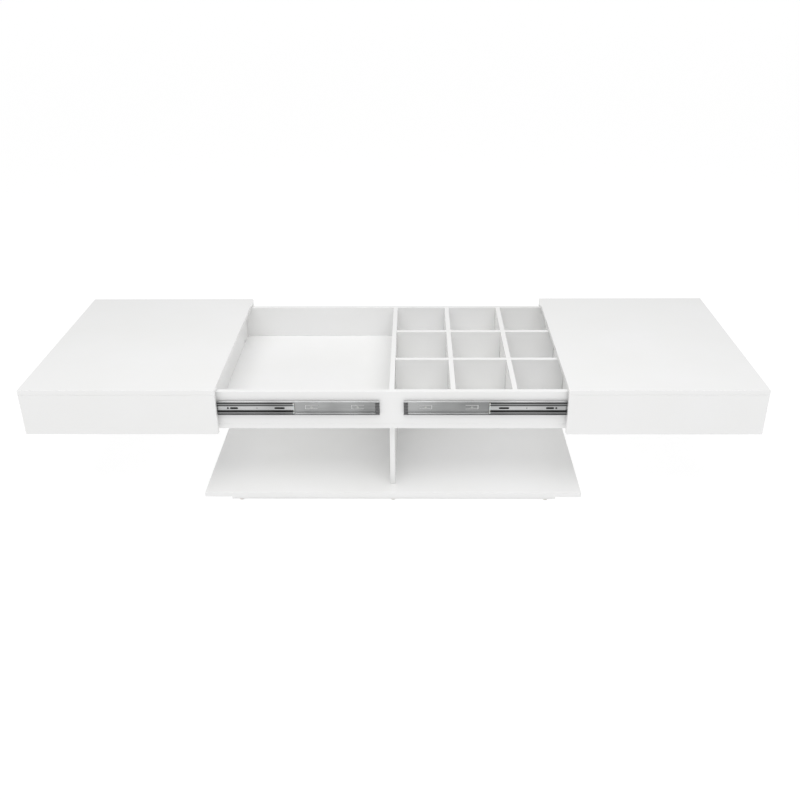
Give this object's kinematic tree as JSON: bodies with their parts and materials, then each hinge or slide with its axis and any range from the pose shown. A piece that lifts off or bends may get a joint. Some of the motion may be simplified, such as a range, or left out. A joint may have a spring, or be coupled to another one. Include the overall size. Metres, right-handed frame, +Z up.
{
  "type": "coffee table",
  "caption": "Low coffee table whose top splits across the middle and slides apart on ball-bearing rails over a divided storage case, with an open lower shelf.",
  "frame": {"origin": "on the floor under the middle of the table", "axes": "+X to the right along the way the two halves of the top slide, +Y to the back, +Z up"},
  "size_m": [2.174, 0.734, 0.415],
  "materials": {
    "white_board": "high gloss white lacquer on MDF",
    "slide_steel": "zinc plated, rolled",
    "ball_cages": "black moulded retainer strip with chrome steel balls",
    "rail_screws": "zinc plated",
    "joint_screws": "zinc plated",
    "dowels": "raw beech",
    "cam_locks": "die-cast zinc",
    "end_stops": "moulded",
    "glides": "moulded polyethylene"
  },
  "bodies": {
    "carcass": {"base_dowels": "dowels", "base_screws": "joint_screws", "bay_divider": "white_board", "cam_locks": "cam_locks", "case_bottom": "white_board", "case_front_wall": "white_board", "case_left_end": "white_board", "case_rear_wall": "white_board", "case_right_end": "white_board", "case_screws": "joint_screws", "centre_upright": "white_board", "cross_divider_front": "white_board", "cross_divider_rear": "white_board", "fixed_rail_screws": "rail_screws", "floor_glides": "glides", "left_front_fixed_rail": "slide_steel", "left_rear_fixed_rail": "slide_steel", "long_divider_inner": "white_board", "long_divider_outer": "white_board", "lower_shelf": "white_board", "plinth_centre_rail": "white_board", "plinth_front_rail": "white_board", "plinth_left_rail": "white_board", "plinth_rear_rail": "white_board", "plinth_right_rail": "white_board", "rear_panel": "white_board", "right_front_fixed_rail": "slide_steel", "right_rear_fixed_rail": "slide_steel", "slide_end_stops": "end_stops", "upright_screws": "joint_screws"},
    "left_top": {"left_end_apron": "white_board", "left_front_apron": "white_board", "left_front_inner_rail": "slide_steel", "left_inner_rail_screws": "rail_screws", "left_rear_apron": "white_board", "left_rear_inner_rail": "slide_steel", "left_top_dowels": "dowels", "left_top_panel": "white_board"},
    "right_top": {"right_end_apron": "white_board", "right_front_apron": "white_board", "right_front_inner_rail": "slide_steel", "right_inner_rail_screws": "rail_screws", "right_rear_apron": "white_board", "right_rear_inner_rail": "slide_steel", "right_top_dowels": "dowels", "right_top_panel": "white_board"},
    "left_front_middle_rail": {"left_front_middle_rail": "slide_steel"},
    "left_front_outer_ball_cage": {"left_front_outer_ball_cage": "ball_cages"},
    "left_front_inner_ball_cage": {"left_front_inner_ball_cage": "ball_cages"},
    "left_rear_middle_rail": {"left_rear_middle_rail": "slide_steel"},
    "left_rear_outer_ball_cage": {"left_rear_outer_ball_cage": "ball_cages"},
    "left_rear_inner_ball_cage": {"left_rear_inner_ball_cage": "ball_cages"},
    "right_front_middle_rail": {"right_front_middle_rail": "slide_steel"},
    "right_front_outer_ball_cage": {"right_front_outer_ball_cage": "ball_cages"},
    "right_front_inner_ball_cage": {"right_front_inner_ball_cage": "ball_cages"},
    "right_rear_middle_rail": {"right_rear_middle_rail": "slide_steel"},
    "right_rear_outer_ball_cage": {"right_rear_outer_ball_cage": "ball_cages"},
    "right_rear_inner_ball_cage": {"right_rear_inner_ball_cage": "ball_cages"}
  },
  "joints": [
    {"name": "left_top_slide", "type": "slide", "parent": "carcass", "child": "left_top", "axis": [1, 0, 0], "range_m": [0, 0.512]},
    {"name": "left_front_middle_rail_slide", "type": "slide", "parent": "carcass", "child": "left_front_middle_rail", "axis": [1, 0, 0], "range_m": [0, 0.2355]},
    {"name": "left_front_outer_ball_cage_slide", "type": "slide", "parent": "carcass", "child": "left_front_outer_ball_cage", "axis": [1, 0, 0], "range_m": [0, 0.118]},
    {"name": "left_front_inner_ball_cage_slide", "type": "slide", "parent": "carcass", "child": "left_front_inner_ball_cage", "axis": [1, 0, 0], "range_m": [0, 0.374]},
    {"name": "left_rear_middle_rail_slide", "type": "slide", "parent": "carcass", "child": "left_rear_middle_rail", "axis": [1, 0, 0], "range_m": [0, 0.2355]},
    {"name": "left_rear_outer_ball_cage_slide", "type": "slide", "parent": "carcass", "child": "left_rear_outer_ball_cage", "axis": [1, 0, 0], "range_m": [0, 0.118]},
    {"name": "left_rear_inner_ball_cage_slide", "type": "slide", "parent": "carcass", "child": "left_rear_inner_ball_cage", "axis": [1, 0, 0], "range_m": [0, 0.374]},
    {"name": "right_top_slide", "type": "slide", "parent": "carcass", "child": "right_top", "axis": [-1, 0, 0], "range_m": [0, 0.512]},
    {"name": "right_front_middle_rail_slide", "type": "slide", "parent": "carcass", "child": "right_front_middle_rail", "axis": [-1, 0, 0], "range_m": [0, 0.2355]},
    {"name": "right_front_outer_ball_cage_slide", "type": "slide", "parent": "carcass", "child": "right_front_outer_ball_cage", "axis": [-1, 0, 0], "range_m": [0, 0.118]},
    {"name": "right_front_inner_ball_cage_slide", "type": "slide", "parent": "carcass", "child": "right_front_inner_ball_cage", "axis": [-1, 0, 0], "range_m": [0, 0.374]},
    {"name": "right_rear_middle_rail_slide", "type": "slide", "parent": "carcass", "child": "right_rear_middle_rail", "axis": [-1, 0, 0], "range_m": [0, 0.2355]},
    {"name": "right_rear_outer_ball_cage_slide", "type": "slide", "parent": "carcass", "child": "right_rear_outer_ball_cage", "axis": [-1, 0, 0], "range_m": [0, 0.118]},
    {"name": "right_rear_inner_ball_cage_slide", "type": "slide", "parent": "carcass", "child": "right_rear_inner_ball_cage", "axis": [-1, 0, 0], "range_m": [0, 0.374]}
  ],
  "couplings": [
    {"joint": "left_front_middle_rail_slide", "follows": "left_top_slide", "ratio": 0.45898},
    {"joint": "left_front_outer_ball_cage_slide", "follows": "left_top_slide", "ratio": 0.22949},
    {"joint": "left_front_inner_ball_cage_slide", "follows": "left_top_slide", "ratio": 0.72949},
    {"joint": "left_rear_middle_rail_slide", "follows": "left_top_slide", "ratio": 0.45898},
    {"joint": "left_rear_outer_ball_cage_slide", "follows": "left_top_slide", "ratio": 0.22949},
    {"joint": "left_rear_inner_ball_cage_slide", "follows": "left_top_slide", "ratio": 0.72949},
    {"joint": "right_front_middle_rail_slide", "follows": "right_top_slide", "ratio": 0.45898},
    {"joint": "right_front_outer_ball_cage_slide", "follows": "right_top_slide", "ratio": 0.22949},
    {"joint": "right_front_inner_ball_cage_slide", "follows": "right_top_slide", "ratio": 0.72949},
    {"joint": "right_rear_middle_rail_slide", "follows": "right_top_slide", "ratio": 0.45898},
    {"joint": "right_rear_outer_ball_cage_slide", "follows": "right_top_slide", "ratio": 0.22949},
    {"joint": "right_rear_inner_ball_cage_slide", "follows": "right_top_slide", "ratio": 0.72949}
  ]
}
